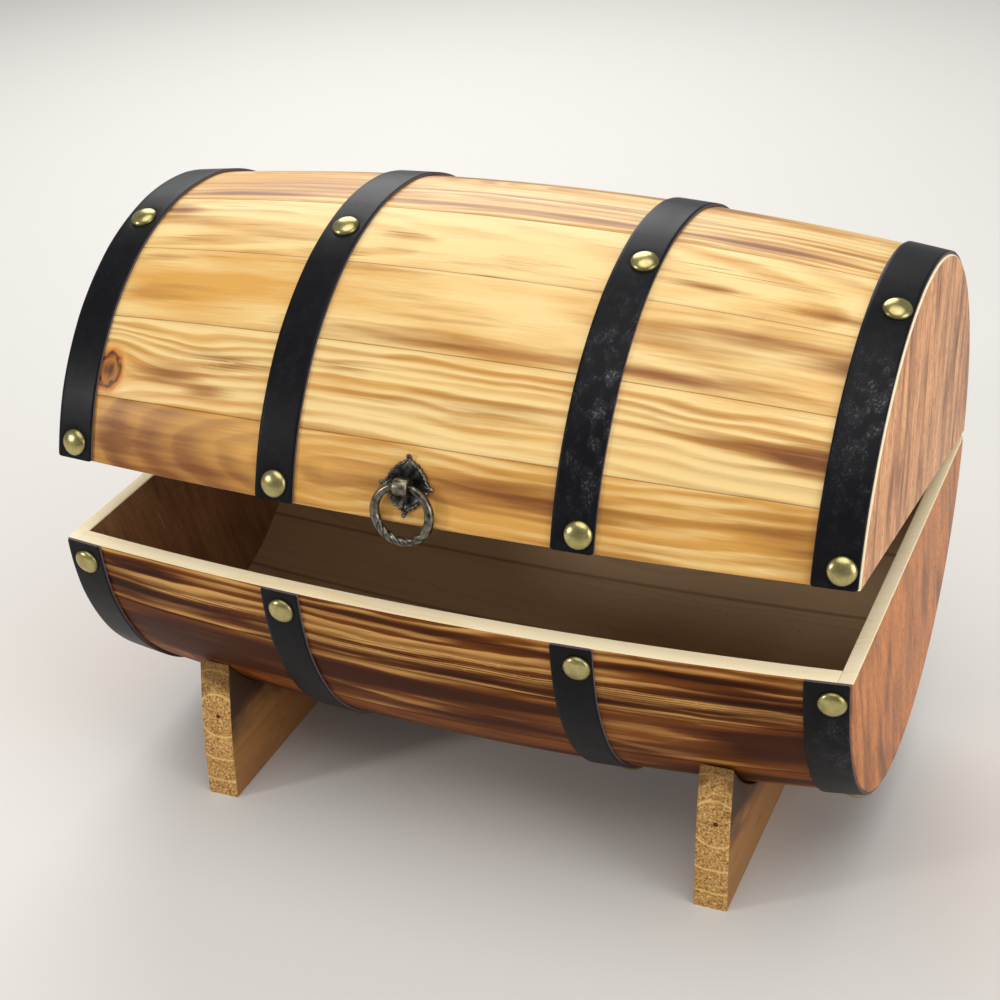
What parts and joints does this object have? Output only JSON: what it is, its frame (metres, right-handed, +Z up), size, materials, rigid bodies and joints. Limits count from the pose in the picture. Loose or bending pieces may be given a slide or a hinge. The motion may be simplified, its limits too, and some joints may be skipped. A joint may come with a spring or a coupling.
{
  "type": "barrel-shaped wooden chest",
  "caption": "Wooden chest made like a barrel on its side: a half barrel on cradle feet, a hinged half-barrel lid, nailed leather straps and a ring pull.",
  "frame": {"origin": "on the surface it stands on, under the middle of the chest; the base's barrel axis is straight above it", "axes": "+X along the barrel towards the right end as seen from the front, +Y towards the hinged back, +Z up"},
  "size_m": [0.5, 0.3533, 0.3845],
  "materials": {
    "base_stave_wood": "scorched and varnished, satin",
    "lid_stave_wood": "scorched and varnished, satin",
    "end_board_wood": "stained and varnished, satin",
    "foot_wood": "scorched, matt",
    "strap_leather": "black, satin",
    "nail_brass": "antiqued, satin",
    "hinge_brass": "antiqued, satin",
    "ring_metal": "antiqued casting, satin"
  },
  "bodies": {
    "base": {"base_stave_1": "base_stave_wood", "base_stave_2": "base_stave_wood", "base_stave_3": "base_stave_wood", "base_stave_4": "base_stave_wood", "base_stave_5": "base_stave_wood", "base_stave_6": "base_stave_wood", "base_stave_7": "base_stave_wood", "base_stave_8": "base_stave_wood", "base_stave_9": "base_stave_wood", "base_stave_10": "base_stave_wood", "base_head_left": "end_board_wood", "base_head_right": "end_board_wood", "base_strap_1": "strap_leather", "base_strap_2": "strap_leather", "base_strap_3": "strap_leather", "base_strap_4": "strap_leather", "base_strap_nails": "nail_brass", "foot_left": "foot_wood", "foot_right": "foot_wood", "hinge_leaf_base_left": "hinge_brass", "hinge_leaf_base_right": "hinge_brass", "hinge_pin_left": "hinge_brass", "hinge_pin_right": "hinge_brass"},
    "lid": {"lid_stave_1": "lid_stave_wood", "lid_stave_2": "lid_stave_wood", "lid_stave_3": "lid_stave_wood", "lid_stave_4": "lid_stave_wood", "lid_stave_5": "lid_stave_wood", "lid_stave_6": "lid_stave_wood", "lid_stave_7": "lid_stave_wood", "lid_stave_8": "lid_stave_wood", "lid_stave_9": "lid_stave_wood", "lid_stave_10": "lid_stave_wood", "lid_head_left": "end_board_wood", "lid_head_right": "end_board_wood", "lid_strap_1": "strap_leather", "lid_strap_2": "strap_leather", "lid_strap_3": "strap_leather", "lid_strap_4": "strap_leather", "lid_strap_nails": "nail_brass", "hinge_leaf_lid_left": "hinge_brass", "hinge_leaf_lid_right": "hinge_brass", "ring_backplate": "ring_metal", "ring_eye": "ring_metal"},
    "ring": {"ring_pull": "ring_metal"}
  },
  "joints": [
    {"name": "lid_hinge", "type": "hinge", "parent": "base", "child": "lid", "pos_m": [0, 0.17528, 0.1907], "axis": [-1, 0, 0], "range_deg": [-9.7, 100.3]},
    {"name": "ring_swing", "type": "hinge", "parent": "lid", "child": "ring", "pos_m": [-0.00803, -0.16766, 0.27337], "axis": [-1, 0, 0], "range_deg": [0, 175]}
  ]
}
